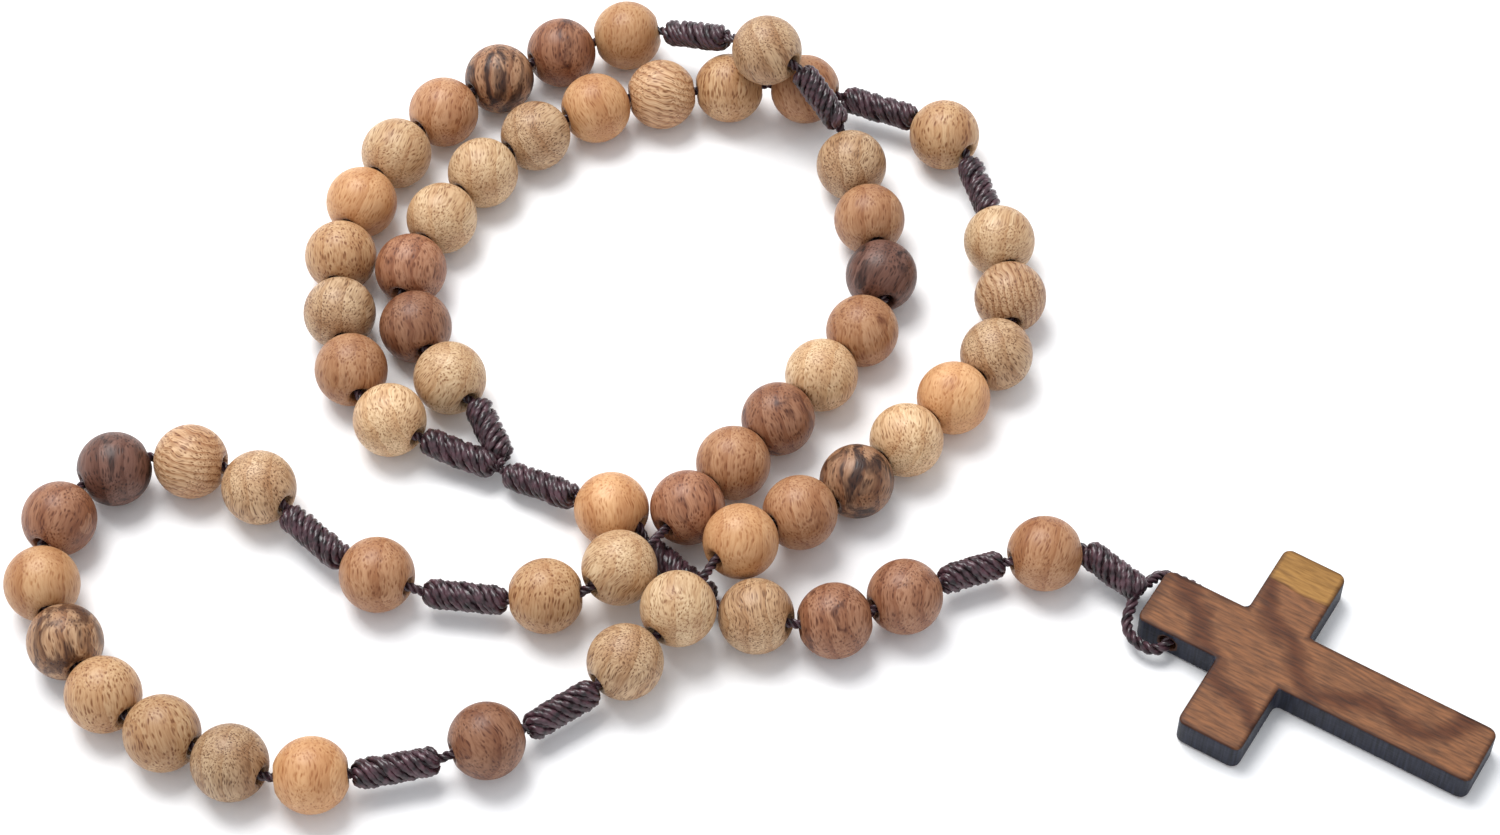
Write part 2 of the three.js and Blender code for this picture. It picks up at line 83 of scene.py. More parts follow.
LOOP_ROUTE = [
    (-0.0332, -0.0109, 0.0036, "loop start"),
    (-0.0482, -0.0040, LOW, hail(1, 1)),
    (-0.0539, 0.0044, LOW, hail(1, 2)),
    (-0.0566, 0.0240, LOW, hail(1, 4)),
    (-0.0500, 0.0426, LOW, hail(1, 6)),
    (-0.0360, 0.0566, LOW, hail(1, 8)),
    (-0.0178, 0.0649, LOW, hail(1, 10)),
    (-0.0072, 0.0614, 0.0090),
    (0.0024, 0.0542, 0.0137, "our_father_bead_1"),
    (0.0100, 0.0484, 0.0102),
    (0.0143, 0.0404, LOW, hail(2, 1)),
    (0.0181, 0.0206, LOW, hail(2, 3)),
    (0.0153, 0.0110, LOW, hail(2, 4)),
    (-0.0082, -0.0186, 0.0055, hail(2, 8)),
    (-0.0169, -0.0288, 0.0066, hail(2, 9)),
    (-0.0264, -0.0321, LOW, hail(2, 10)),
    (-0.0484, -0.0288, LOW, "our_father_bead_2"),
    (-0.0648, -0.0150, LOW, hail(3, 1)),
    (-0.0742, -0.0108, LOW, hail(3, 2)),
    (-0.0842, -0.0120, LOW, hail(3, 3)),
    (-0.0906, -0.0200, LOW, hail(3, 4)),
    (-0.0917, -0.0302, LOW, hail(3, 5)),
    (-0.0820, -0.0470, LOW, hail(3, 7)),
    (-0.0651, -0.0570, LOW, hail(3, 9)),
    (-0.0548, -0.0588, LOW, hail(3, 10)),
    (-0.0331, -0.0538, LOW, "our_father_bead_3"),
    (-0.0159, -0.0424, 0.0054, hail(4, 1)),
    (-0.0092, -0.0355, 0.0072, hail(4, 2)),
    (-0.0012, -0.0255, 0.0078, hail(4, 3)),
    (0.0141, -0.0140, LOW, hail(4, 5)),
    (0.0334, 0.0070, LOW, hail(4, 8)),
    (0.0357, 0.0168, LOW, hail(4, 9)),
    (0.0346, 0.0267, LOW, hail(4, 10)),
    (0.0276, 0.0460, LOW, "our_father_bead_4"),
    (0.0079, 0.0546, LOW, hail(5, 1)),
    (-0.0030, 0.0548, LOW, hail(5, 2)),
    (-0.0220, 0.0510, LOW, hail(5, 4)),
    (-0.0376, 0.0390, LOW, hail(5, 6)),
    (-0.0468, 0.0217, LOW, hail(5, 8)),
    (-0.0456, 0.0117, LOW, hail(5, 9)),
    (-0.0405, 0.0030, LOW, hail(5, 10)),
    (-0.0354, -0.0038, 0.0044),
    (-0.0332, -0.0109, 0.0036, "loop end"),
]
PENDANT_ROUTE = [
    (-0.0332, -0.0109, 0.0036, "pendant start"),
    (-0.0182, -0.0185, LOW, "our_father_bead_5"),
    (-0.0132, -0.0230, 0.0030),
    (-0.0050, -0.0309, 0.0028),
    (0.0008, -0.0352, LOW, "pendant_bead_1"),
    (0.0109, -0.0359, LOW, "pendant_bead_2"),
    (0.0200, -0.0322, LOW, "pendant_bead_3"),
    (0.0290, -0.0276, 0.0042),
    (0.0384, -0.0255, LOW, "our_father_bead_6"),
    (0.0436, -0.0247, 0.0046),
    (0.0508, -0.0305, 0.0032, "pendant end"),
]

# %% The knots: name, what each comes after, the gap to it, its length and its sag, in metres
LOOP_KNOTS = [
    ("knot_1", "loop start", 0.0008, 0.0106, 0.0005),
    ("knot_2", hail(1, 10), 0.0016, 0.0110, 0.0002),
    ("knot_3", "our_father_bead_1", 0.0009, 0.0096, 0.0000),
    ("knot_4", hail(2, 10), 0.0004, 0.0110, 0.0010),
    ("knot_5", "our_father_bead_2", 0.0005, 0.0112, 0.0008),
    ("knot_6", hail(3, 10), 0.0004, 0.0110, 0.0010),
    ("knot_7", "our_father_bead_3", 0.0009, 0.0104, 0.0014),
    ("knot_8", hail(4, 10), 0.0004, 0.0102, 0.0004),
    ("knot_9", "our_father_bead_4", 0.0005, 0.0110, 0.0004),
    ("knot_10", hail(5, 10), 0.0004, 0.0096, 0.0005),
]
PENDANT_KNOTS = [
    ("knot_11", "pendant start", 0.0008, 0.0107, 0.0008),
    ("knot_12", "our_father_bead_5", 0.0020, 0.0120, 0.0003),
    ("knot_13", "pendant_bead_3", 0.0009, 0.0089, 0.0004),
    ("knot_14", "our_father_bead_6", 0.0009, 0.0094, 0.0002),
]

# %% A smooth line through the places
STEPS_PER_SPAN = 100


def smooth_line(places):
    """The Catmull-Rom curve through the places, as closely spaced points."""
    at = np.array([place[:3] for place in places])
    at = np.vstack([2 * at[0] - at[1], at, 2 * at[-1] - at[-2]])
    t = np.linspace(0, 1, STEPS_PER_SPAN, endpoint=False)[:, None]
    spans = [
        b + ((c - a) * t + (2 * a - 5 * b + 4 * c - d) * t**2 + (3 * b - a - 3 * c + d) * t**3) / 2
        for a, b, c, d in zip(at, at[1:], at[2:], at[3:])
    ]
    return np.vstack([*spans, at[-2:-1]])


def distance_along(line):
    return np.concatenate([[0], np.cumsum(np.linalg.norm(np.diff(line, axis=0), axis=1))])


def points_at(line, distances):
    """The points of a line at these distances from its start."""
    along = distance_along(line)
    return np.stack([np.interp(distances, along, line[:, k]) for k in range(3)], axis=-1)


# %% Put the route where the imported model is
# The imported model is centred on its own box, so one known bead gives the shift of the whole route.
joint_of = {joint["child"]: joint for joint in frame["joints"]}
shift = np.array(joint_of["pendant_bead_2"]["pos_m"]) - np.array(PENDANT_ROUTE[5][:3])
shift[2] = 0.0
loop_line = smooth_line(LOOP_ROUTE) + shift
pendant_line = smooth_line(PENDANT_ROUTE) + shift
print("shift of the route, mm:", (shift / MM).round(3))
for part, line in (("loop", loop_line), ("pendant", pendant_line)):
    print(part, round(distance_along(line)[-1], 4), "m")

# %% [markdown]
# ## The camera
# Small things on a table are usually looked at from a seat beside it, through a longish lens that
# keeps round beads round. An 86 mm lens about half a metre away, 54 degrees above the table, does
# this. It points at the middle of the route.

# %% Camera
VIEW_ELEVATION = math.radians(54)
VIEW_DISTANCE = 0.488
camera = bpy.data.objects.new("table_camera", bpy.data.cameras.new("table_camera"))
camera.data.lens = 86.4
camera.data.clip_start = 0.01
toward_camera = Vector((0, -math.cos(VIEW_ELEVATION), math.sin(VIEW_ELEVATION)))
camera.location = Vector(shift) + VIEW_DISTANCE * toward_camera
camera.rotation_euler = (math.pi / 2 - VIEW_ELEVATION, 0, 0)
bpy.context.scene.collection.objects.link(camera)
bpy.context.scene.camera = camera
print("camera at", [round(x, 4) for x in camera.location])

# %% [markdown]
# ## Stringing the beads and the knots
# Each piece on the cord needs three facts: where its middle is, which way its bore points, and how
# long it is. A bead's bore lies along the chord of the route 3 mm to each side of it. A knot is
# thinner than a bead, so it sags until it almost touches the table.

# %% Where each piece sits
HALF_BEAD = 4.6 * MM  # from a bead's middle to the mouth of its bore
CHORD_REACH = 3 * MM


def station_of(places, line):
    along = distance_along(line)
    return {place[3]: along[i * STEPS_PER_SPAN] for i, place in enumerate(places) if len(place) == 4}


def strung(line, name, distance, half, reach):
    before, middle, after = points_at(line, [distance - reach, distance, distance + reach])
    axis = (after - before) / np.linalg.norm(after - before)
    return {"name": name, "distance": distance, "centre": middle, "axis": axis, "half": half}


def strung_bead(line, name, distance):
    bead = strung(line, name, distance, HALF_BEAD, CHORD_REACH)
    bead["centre"][2] = max(bead["centre"][2], LOW)  # a bead never lies lower than on the table
    return bead


def strung_knot(line, stations, name, past, gap, length, drop):
    clear = gap if past.endswith("start") else HALF_BEAD + gap
    knot = strung(line, name, stations[past] + clear + length / 2, length / 2, length / 2)
    knot["centre"][2] -= drop
    return knot


# %% The five decades and the beads that stand alone
loop_station = station_of(LOOP_ROUTE, loop_line)
pendant_station = station_of(PENDANT_ROUTE, pendant_line)


def strung_decade(decade):
    named = [n for n in range(1, 11) if hail(decade, n) in loop_station]
    distances = np.interp(range(1, 11), named, [loop_station[hail(decade, n)] for n in named])
    return [strung_bead(loop_line, hail(decade, n + 1), d) for n, d in enumerate(distances)]


loop_beads = [bead for decade in range(1, 6) for bead in strung_decade(decade)]
loop_beads += [
    strung_bead(loop_line, f"our_father_bead_{n}", loop_station[f"our_father_bead_{n}"])
    for n in range(1, 5)
]
pendant_beads = [
    strung_bead(pendant_line, name, distance)
    for name, distance in pendant_station.items()
    if "bead" in name
]
loop_knots = [strung_knot(loop_line, loop_station, *knot) for knot in LOOP_KNOTS]
pendant_knots = [strung_knot(pendant_line, pendant_station, *knot) for knot in PENDANT_KNOTS]
print(len(loop_beads) + len(pendant_beads), "beads,", len(loop_knots) + len(pendant_knots), "knots")

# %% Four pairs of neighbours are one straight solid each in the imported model
node_of = {bead["name"]: bead["name"] for bead in loop_beads + pendant_beads}
by_name = {piece["name"]: piece for piece in loop_beads + pendant_beads + loop_knots + pendant_knots}
for node in frame["nodes"]:
    if "_beads_" not in node:
        continue
    stem, first, second = node.replace("_beads_", " ").replace("_", " ").rsplit(" ", 2)
    pair = [by_name[stem.replace(" ", "_") + "_bead_" + number] for number in (first, second)]
    axis = pair[1]["centre"] - pair[0]["centre"]
    for bead in pair:
        bead["axis"] = axis / np.linalg.norm(axis)
        node_of[bead["name"]] = node

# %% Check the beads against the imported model
worst = 0.0
for name, node in node_of.items():
    if name == node:
        low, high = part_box(node)
        worst = max(worst, (Vector(by_name[name]["centre"]) - (low + high) / 2).length)
print("furthest bead from the middle of its CAD box:", round(worst / MM, 3), "mm")

# %% [markdown]
# ## Helpers for meshes and materials
# Three small helpers serve the whole file. One makes a piece from points and faces, one turns a
# web colour into the linear colour that the renderer works in, and one adds a shader node with its
# settings and its links.

# %% A piece from points and faces
def new_piece(name, points, faces, *materials):
    mesh = bpy.data.meshes.new(name)
    mesh.from_pydata(np.asarray(points).tolist(), [], faces)
    tidy = bmesh.new()
    tidy.from_mesh(mesh)
    bmesh.ops.recalc_face_normals(tidy, faces=tidy.faces)
    tidy.to_mesh(mesh)
    tidy.free()
    mesh.shade_smooth()
    for material in materials:
        mesh.materials.append(material)
    piece = bpy.data.objects.new(name, mesh)
    bpy.context.scene.collection.objects.link(piece)
    return piece


# %% A linear colour from an sRGB hex value
def linear(hex_colour):
    channels = [int(hex_colour[i : i + 2], 16) / 255 for i in (1, 3, 5)]
    return (*(c / 12.92 if c <= 0.04045 else ((c + 0.055) / 1.055) ** 2.4 for c in channels), 1.0)


print("mid grey #808080 is", round(linear("#808080")[0], 3), "in linear light")


# %% A shader node with its settings and links
def add(material, kind, inputs=None, **settings):
    """Adds a node. An input's value is a number, a colour or another node's output."""
    tree = material.node_tree
    node = tree.nodes.new("ShaderNode" + kind)
    for setting, value in settings.items():
        setattr(node, setting, value)
    for key, value in (inputs or {}).items():
        if isinstance(value, bpy.types.NodeSocket):
            tree.links.new(value, node.inputs[key])
        else:
            node.inputs[key].default_value = value
    return node


def new_material(name):
    material = bpy.data.materials.new(name)
    material.use_nodes = True
    material.node_tree.nodes.clear()
    return material


# %% Finish a material with its surface shader
MIX_A, MIX_B, MIX_RESULT = 6, 7, 2  # the colour sockets of a Mix node
TO_MM = (1 / MM, 1 / MM, 1 / MM)


def surface(material, colour, roughness, bump, **fixed):
    """Links the colour, the roughness and the bump, and sets the shader's other sockets."""
    inputs = {"Base Color": colour, "Roughness": roughness, "Normal": bump, **fixed}
    shader = add(material, "BsdfPrincipled", inputs)
    add(material, "OutputMaterial", {"Surface": shader.outputs[0]})
    return material


# %% [markdown]
# ## Dark nylon cord
# The cord is twisted nylon, about 1.4 mm thick: three plies of fine, shiny filaments, dyed a dark
# plum brown and laid into a rope with a turn every 3 mm or so. Nylon has an IOR of about 1.53. The
# filaments all lie side by side, so the cord catches the light along its ridges and stays nearly
# black in its grooves. The plies are real geometry; only the filaments are drawn as bump.

# %% The nylon material
def nylon_cord():
    material = new_material("dyed_twisted_nylon")
    place = add(material, "TexCoord")
    in_mm = add(material, "Mapping", {"Vector": place.outputs["Object"], "Scale": TO_MM})
    # Filaments are about 0.03 mm thick, too fine to show, so they are drawn 0.12 mm apart.
    filament = add(material, "TexNoise", {"Vector": in_mm.outputs[0], "Scale": 8.0, "Detail": 2.0})
    worn = add(material, "TexNoise", {"Vector": in_mm.outputs[0], "Scale": 0.9, "Detail": 3.0})
    dye = add(material, "ValToRGB", {"Fac": worn.outputs[0]})
    dye.color_ramp.elements[0].position = 0.35
    dye.color_ramp.elements[0].color = linear("#170c10")
    dye.color_ramp.elements[1].position = 0.68
    dye.color_ramp.elements[1].color = linear("#543840")
    rough = add(
        material,
        "MapRange",
        {"Value": filament.outputs[0], "To Min": 0.22, "To Max": 0.38},
    )
    bump = add(
        material,
        "Bump",
        {"Height": filament.outputs[0], "Strength": 0.35, "Distance": 0.05 * MM},
    )
    return surface(
        material,
        dye.outputs[0],
        rough.outputs[0],
        bump.outputs[0],
        **{
            "IOR": 1.53,
            "Sheen Weight": 0.12,
            "Sheen Roughness": 0.4,
            "Sheen Tint": linear("#c9a9ac"),
        },
    )


NYLON = nylon_cord()
print("made", NYLON.name)

# %% [markdown]
# ## Twisting a cord
# A rope could be a plain tube with a bump map, but its edge would then be smooth. Here each ply is a
# thin tube of its own that winds round the cord's line, so the edge of the cord is knobbly too. The
# rings of each tube need an "across" and an "up" that never flip as the line turns: each ring's
# across is the one before it, pushed square to the line again.

# %% Directions square to a line
def squares_to(line):
    tangent = np.gradient(line, axis=0)
    tangent /= np.linalg.norm(tangent, axis=1)[:, None]
    across = np.cross(tangent[0], [0, 0, 1.0])
    rows = []
    for direction in tangent:
        across = across - direction * across.dot(direction)
        across /= np.linalg.norm(across)
        rows.append(across)
    across = np.array(rows)
    return across, np.cross(tangent, across)


# %% A closed tube round a line, whose radius may change from point to point
def swept_tube(line, across, up, radii):
    rings, sides = radii.shape
    turn = np.linspace(0, 2 * math.pi, sides, endpoint=False)
    spoke = across[:, None] * np.cos(turn)[None, :, None] + up[:, None] * np.sin(turn)[None, :, None]
    points = (line[:, None] + radii[:, :, None] * spoke).reshape(-1, 3)
    start = np.arange((rings - 1) * sides).reshape(rings - 1, sides)
    quads = np.stack([start, np.roll(start, -1, 1), np.roll(start, -1, 1) + sides, start + sides], -1)
    ends = [list(range(sides))[::-1], list(range((rings - 1) * sides, rings * sides))]
    return points, quads.reshape(-1, 4).tolist() + ends


def together(tubes):
    """Several tubes as one list of points and one of faces."""
    points, faces = [], []
    for tube_points, tube_faces in tubes:
        faces += [[corner + len(points) for corner in face] for face in tube_faces]
        points += tube_points.tolist()
    return points, faces


# %% A laid cord of three plies
PLIES = 3
LAY = 3.0 * MM  # one full turn of a ply
STEP = 0.28 * MM


def laid_cord(line, radius, lay=LAY, sides=8):
    """Three plies wound round a line. Each ply is half as thick as the cord."""
    length = distance_along(line)[-1]
    line = points_at(line, np.linspace(0, length, int(length / STEP) + 2))
    along = distance_along(line)
    across, up = squares_to(line)
    plies = []
    for ply in range(PLIES):
        turn = (2 * math.pi * (ply / PLIES + along / lay))[:, None]
        outward = across * np.cos(turn) + up * np.sin(turn)
        sideways = up * np.cos(turn) - across * np.sin(turn)
        radii = np.full((len(line), sides), radius / 2)
        plies.append(swept_tube(line + outward * radius / 2, outward, sideways, radii))
    return together(plies)


# %% [markdown]
# ## Laying the cord through the beads
# Inside a bead or a knot the cord is straight, and it turns only in the gaps. A line through those
# straight stretches has corners, so it is softened by averaging it over about 2 mm, which gives the
# small bends of a limp cord.

# %% The cord's line
MOUTH = 0.4 * MM
SOFTEN_OVER = 1.0 * MM


def through(pieces):
    corners = []
    for piece in sorted(pieces, key=lambda piece: piece["distance"]):
        reach = (piece["half"] - MOUTH) * piece["axis"]
        corners += [piece["centre"] - reach, piece["centre"] + reach]
    return corners


def softened(corners):
    corners = np.array(corners)
    fine = 0.1 * MM
    line = points_at(corners, np.arange(0, distance_along(corners)[-1], fine))
    width = int(SOFTEN_OVER / fine) // 2 * 2 + 1
    for _ in range(2):
        padded = np.vstack([line[:1]] * (width // 2) + [line] + [line[-1:]] * (width // 2))
        window = np.ones(width) / width
        line = np.stack([np.convolve(padded[:, k], window, "valid") for k in range(3)], -1)
    return line


# %% The loop of cord
CORD_RADIUS = 0.68 * MM
junction = loop_line[0]
loop_cord_line = softened([junction, *through(loop_beads + loop_knots), junction])
loop_cord = new_piece("nylon_loop", *laid_cord(loop_cord_line, CORD_RADIUS), NYLON)
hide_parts("loop_cord")
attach(loop_cord, "loop_cord")


# %% The start of the pendant, from the junction to the first of its three beads
def middle(name):
    return by_name[name]["centre"]


def mouth(name, side):
    """The middle of a piece's end; side is -1 for the end nearer the junction."""
    return by_name[name]["centre"] + side * by_name[name]["half"] * by_name[name]["axis"]


stem_pieces = [by_name[name] for name in ("knot_11", "our_father_bead_5", "knot_12")]
stem_end = [mouth("pendant_bead_1", -1), middle("pendant_bead_1")]
stem_line = softened([junction, *through(stem_pieces), *stem_end])
stem_cord = new_piece("nylon_stem", *laid_cord(stem_line, CORD_RADIUS), NYLON)
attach(stem_cord, "loop_cord")
print("cord in the stem:", round(distance_along(stem_line)[-1], 4), "m")

# %% [markdown]
# ## The cord in the pendant
# The pendant bends at three gaps. Each stretch of cord that crosses one is a piece of its own: its
# two ends are hidden in bores or in a knot, and as it lies here it turns smoothly from one body to
# the next, so no cut shows.

# %% The three stretches that bend
def bending_cord(name, body_b, names):
    """A cord from the middle of the first piece to the middle of the last, bent after the first."""
    inner = through([by_name[n] for n in names[1:-1]])
    ends = [middle(names[0]), mouth(names[0], 1), *inner, mouth(names[-1], -1), middle(names[-1])]
    line = softened(ends)
    piece = new_piece(name, *laid_cord(line, CORD_RADIUS), NYLON)
    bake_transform(piece)
    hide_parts(body_b)
    print(name, round(distance_along(line)[-1] / MM, 1), "mm")
    return piece


THREE_BEADS = ["pendant_bead_1", "pendant_bead_2", "pendant_bead_3"]
BELOW_THEM = ["pendant_bead_3", "knot_13", "our_father_bead_6"]
LAST_GAP = ["our_father_bead_6", "knot_14"]
tail_cords = [
    bending_cord("nylon_tail_1", "pendant_cord_1", THREE_BEADS),
    bending_cord("nylon_tail_2", "pendant_cord_2", BELOW_THEM),
    bending_cord("nylon_tail_3", "pendant_cord_3", LAST_GAP),
]

# %% [markdown]
# ## The ring of cord that holds the cross
# The last knot's cord goes round the end of the cross's top arm and through a hole from side to
# side. One side of this ring hangs slack and the other is drawn close to the arm. The places are
# given on the cross itself: how far down from its top end, how far across, and how high, in
# millimetres.

# %% The cross's own directions, from the joint that it swings on
swing = joint_of["cross"]
cross_hole = Vector(swing["pos_m"])
cross_across = -Vector(swing["axis"])
cross_along = Vector((cross_across.y, -cross_across.x, 0))
cross_turn = Matrix((cross_along, cross_across, (0, 0, 1))).transposed()
cross_frame = Matrix.Translation(cross_hole) @ cross_turn.to_4x4()
HOLE_FROM_TOP = 4.7
THICKNESS = 4.6


def on_cross(down, across, height):
    """A place given in millimetres from the middle of the top end, on the table."""
    up = height - THICKNESS / 2
    return cross_frame @ Vector(((down - HOLE_FROM_TOP) * MM, across * MM, up * MM))


# %% The ring
RING_RADIUS = 0.8 * MM
RING_LAY = 3.6 * MM
slack_side = [
    (-4.2, -0.3, 3.0),
    (-2.6, -0.7, 3.0),
    (-1.8, -1.9, 2.9),
    (-1.5, -3.6, 2.7),
    (-0.7, -5.2, 2.5),
    (0.9, -6.3, 2.4),
    (2.9, -6.5, 2.3),
    (4.3, -5.8, 2.3),
    (4.7, -4.6, 2.3),
    (4.7, -2.6, 2.3),
    (4.7, -0.6, 2.3),
]
close_side = [
    (-4.2, 0.3, 3.0),
    (-2.6, 0.7, 2.9),
    (-1.8, 1.9, 2.6),
    (-1.5, 3.3, 2.2),
    (-1.1, 4.4, 1.9),
    (-0.3, 5.1, 1.7),
    (1.0, 5.4, 1.6),
    (2.6, 5.4, 1.8),
    (3.8, 5.25, 2.1),
    (4.45, 4.75, 2.3),
    (4.7, 4.2, 2.3),
    (4.7, 2.0, 2.3),
]
ring_places = close_side + slack_side[::-1]
ring_line = smooth_line([tuple(on_cross(*place)) for place in ring_places])
ring = new_piece("nylon_ring", *laid_cord(ring_line, RING_RADIUS, lay=RING_LAY), NYLON)
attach(ring, "pendant_cord_3")
print("ring of cord:", round(distance_along(ring_line)[-1] / MM, 1), "mm")

# %% [markdown]
# ## Barrel knots
# A barrel knot is the cord wound round itself. What shows is a barrel 4 mm thick whose ridges slant
# across it, about 1 mm apart, each ridge being the cord itself with its three plies. Seven strands
# that wind round the barrel side by side give that slant. Their ends tuck in to the middle. A real
# knot is pulled tight by hand, so no two ridges lie quite alike.

# %% One knot
RIDGES = 7
RIDGE_SPACING = 1.07 * MM
RIDGE_RADIUS = 0.41 * MM
WINDING_RADIUS = 1.55 * MM
TUCK = 1.1 * MM
PLY_TWIST = 3.2 * MM  # one full turn of the plies inside a ridge
STRAND_STEPS, STRAND_SIDES = 72, 18


def barrel_knot(knot, seed):
    rng = random.Random(seed)
    axis = knot["axis"]
    side = np.cross(axis, [0, 0, 1.0])
    side /= np.linalg.norm(side)
    top = np.cross(side, axis)
    reach = knot["half"] - 0.3 * MM
    x = np.linspace(-reach, reach, STRAND_STEPS)
    inside = np.clip((reach - np.abs(x)) / TUCK, 0, 1)
    winding = WINDING_RADIUS * (0.42 + 0.58 * np.sqrt(1 - (1 - inside) ** 2))
    lead = RIDGES * RIDGE_SPACING * rng.uniform(0.94, 1.08)
    strands = []
    for ridge in range(RIDGES):
        wobble = 0.2 * np.sin(2 * math.pi * (x / (5.5 * MM) + rng.random()))
        turn = 2 * math.pi * ((ridge + rng.uniform(-0.12, 0.12)) / RIDGES - x / lead) + wobble
        radius = winding * (1 + rng.uniform(-0.05, 0.04) + 0.03 * np.sin(x / MM + rng.uniform(0, 6)))
        outward = side * np.cos(turn)[:, None] + top * np.sin(turn)[:, None]
        line = knot["centre"] + axis * x[:, None] + outward * radius[:, None]
        tangent = np.gradient(line, axis=0)
        tangent /= np.linalg.norm(tangent, axis=1)[:, None]
        outward = outward - tangent * (outward * tangent).sum(1)[:, None]
        outward /= np.linalg.norm(outward, axis=1)[:, None]
        angle = np.linspace(0, 2 * math.pi, STRAND_SIDES, endpoint=False)[None]
        twist = 2 * math.pi * distance_along(line)[:, None] * PLIES / PLY_TWIST
        lobes = np.abs(np.cos((PLIES * angle - twist) / 2))
        radii = RIDGE_RADIUS * (0.84 + 0.26 * lobes)
        strands.append(swept_tube(line, outward, np.cross(tangent, outward), radii))
    core_radii = np.repeat((winding * 0.9)[:, None], 12, axis=1)
    core_line = knot["centre"] + axis * x[:, None]
    sides = np.repeat(side[None], len(x), axis=0), np.repeat(top[None], len(x), axis=0)
    return together([*strands, swept_tube(core_line, *sides, core_radii)])


# %% All fourteen knots
BODY_OF_KNOT = {"knot_13": "pendant_cord_2", "knot_14": "pendant_cord_3"}
for seed, knot in enumerate(loop_knots + pendant_knots):
    piece = new_piece("barrel_" + knot["name"], *barrel_knot(knot, seed), NYLON)
    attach(piece, BODY_OF_KNOT.get(knot["name"], "loop_cord"))

# %% [markdown]
# ## Ten woods
# The beads are offcuts of many woods, turned on a lathe, sanded and lightly waxed. A wood's look
# comes from the same few things in different amounts: growth rings, fine fibres, open pores that
# show as dots across the grain and as dashes along it, and sometimes dark streaks. One function
# therefore makes all the woods. Each bead's mesh is stored in the position that it had in its plank,
# with the plank's grain along Z and the tree's middle at X = 0, Y = 0, so that plain object
# coordinates cut every bead from a different place. Waxed wood has an IOR of about 1.5.

# %% The wood material
def turned_wood(
    name, ring_mm, late, fibre, pore_mm, pore, figure, ring_porous=0.0, wavy=2.0, share=0.0
):
    """Tints multiply the bead's own colour; share is how much of the wood its dark figure takes."""
    material = new_material("turned_waxed_" + name)
    straight = add(material, "TexCoord").outputs["Object"]
    bend = add(material, "TexNoise", {"Vector": straight, "Scale": 0.3 / MM, "Detail": 1.0})
    wander = {0: bend.outputs["Color"], 1: (1.4 * MM, 1.4 * MM, 0), 2: straight}
    plank = add(material, "VectorMath", wander, operation="MULTIPLY_ADD").outputs[0]
    colour = add(material, "Attribute", attribute_name="bead_colour").outputs["Color"]
    slow = add(material, "Mapping", {"Vector": plank, "Scale": (1 / MM, 1 / MM, 0.2 / MM)})
    ring = add(
        material,
        "TexWave",
        {"Vector": slow.outputs[0], "Scale": 0.314 / ring_mm, "Distortion": wavy, "Detail Scale": 0.35},
        wave_type="RINGS",
        rings_direction="Z",
        wave_profile="SAW",
    )
    late_wood = add(material, "MapRange", {"Value": ring.outputs["Fac"], "From Min": 0.5})
    # Fibres are about 0.02 mm across. They are drawn in bundles 0.3 mm across and 3 mm long.
    fine = add(material, "Mapping", {"Vector": plank, "Scale": (3.6 / MM, 3.6 / MM, 0.3 / MM)})
    bundle = add(material, "TexNoise", {"Vector": fine.outputs[0], "Scale": 1.0, "Detail": 4.0})
    fibres = add(material, "MapRange", {"Value": bundle.outputs[0], "From Min": 0.42, "From Max": 0.72})
    open_end = add(
        material,
        "Mapping",
        {"Vector": plank, "Scale": (1 / pore_mm / MM, 1 / pore_mm / MM, 0.6 / MM)},
    )
    vessel = add(material, "TexVoronoi", {"Vector": open_end.outputs[0], "Scale": 1.0})
    hole = add(
        material,
        "MapRange",
        {"Value": vessel.outputs["Distance"], "From Min": 0.42, "From Max": 0.2},
    )
    early = add(
        material,
        "MapRange",
        {"Value": ring.outputs["Fac"], "From Min": 0.75, "From Max": 0.25},
    )
    early_only = add(
        material,
        "MapRange",
        {"Value": early.outputs[0], "To Min": 1.0 - ring_porous, "To Max": 1.0},
    )
    pores = add(material, "Math", {0: hole.outputs[0], 1: early_only.outputs[0]}, operation="MULTIPLY")
    broad = add(material, "Mapping", {"Vector": plank, "Scale": (0.34 / MM, 0.34 / MM, 0.07 / MM)})
    streak = add(
        material,
        "TexNoise",
        {"Vector": broad.outputs[0], "Scale": 1.0, "Detail": 4.0, "Distortion": 1.4},
    )
    streaks = add(
        material,
        "MapRange",
        {"Value": streak.outputs[0], "From Min": 0.66 - share / 2, "From Max": 0.86 - share / 2},
        interpolation_type="SMOOTHSTEP",
    )
    blotch = add(material, "TexNoise", {"Vector": slow.outputs[0], "Scale": 0.3, "Detail": 2.0})
    uneven = add(material, "MapRange", {"Value": blotch.outputs[0], "From Min": 0.35, "From Max": 0.7})
    layers = [
        (uneven, "#e3d4c8"),
        (late_wood, late),
        (fibres, fibre),
        (streaks, figure),
        (pores, pore),
    ]
    for amount, tint in layers:
        layer = {0: amount.outputs[0], MIX_A: colour, MIX_B: linear(tint)}
        mix = add(material, "Mix", layer, data_type="RGBA", blend_type="MULTIPLY")
        colour = mix.outputs[MIX_RESULT]
    dry = add(material, "MapRange", {"Value": bundle.outputs[0], "To Min": 0.34, "To Max": 0.56})
    relief = {0: pores.outputs[0], 1: 1.5, 2: fibres.outputs[0]}
    depth = add(material, "Math", relief, operation="MULTIPLY_ADD")
    bump = add(
        material,
        "Bump",
        {"Height": depth.outputs[0], "Strength": 0.5, "Distance": 0.03 * MM},
        invert=True,
    )
    return surface(
        material,
        colour,
        dry.outputs[0],
        bump.outputs[0],
        **{"IOR": 1.5, "Specular IOR Level": 0.35, "Coat Weight": 0.06, "Coat Roughness": 0.3},
    )


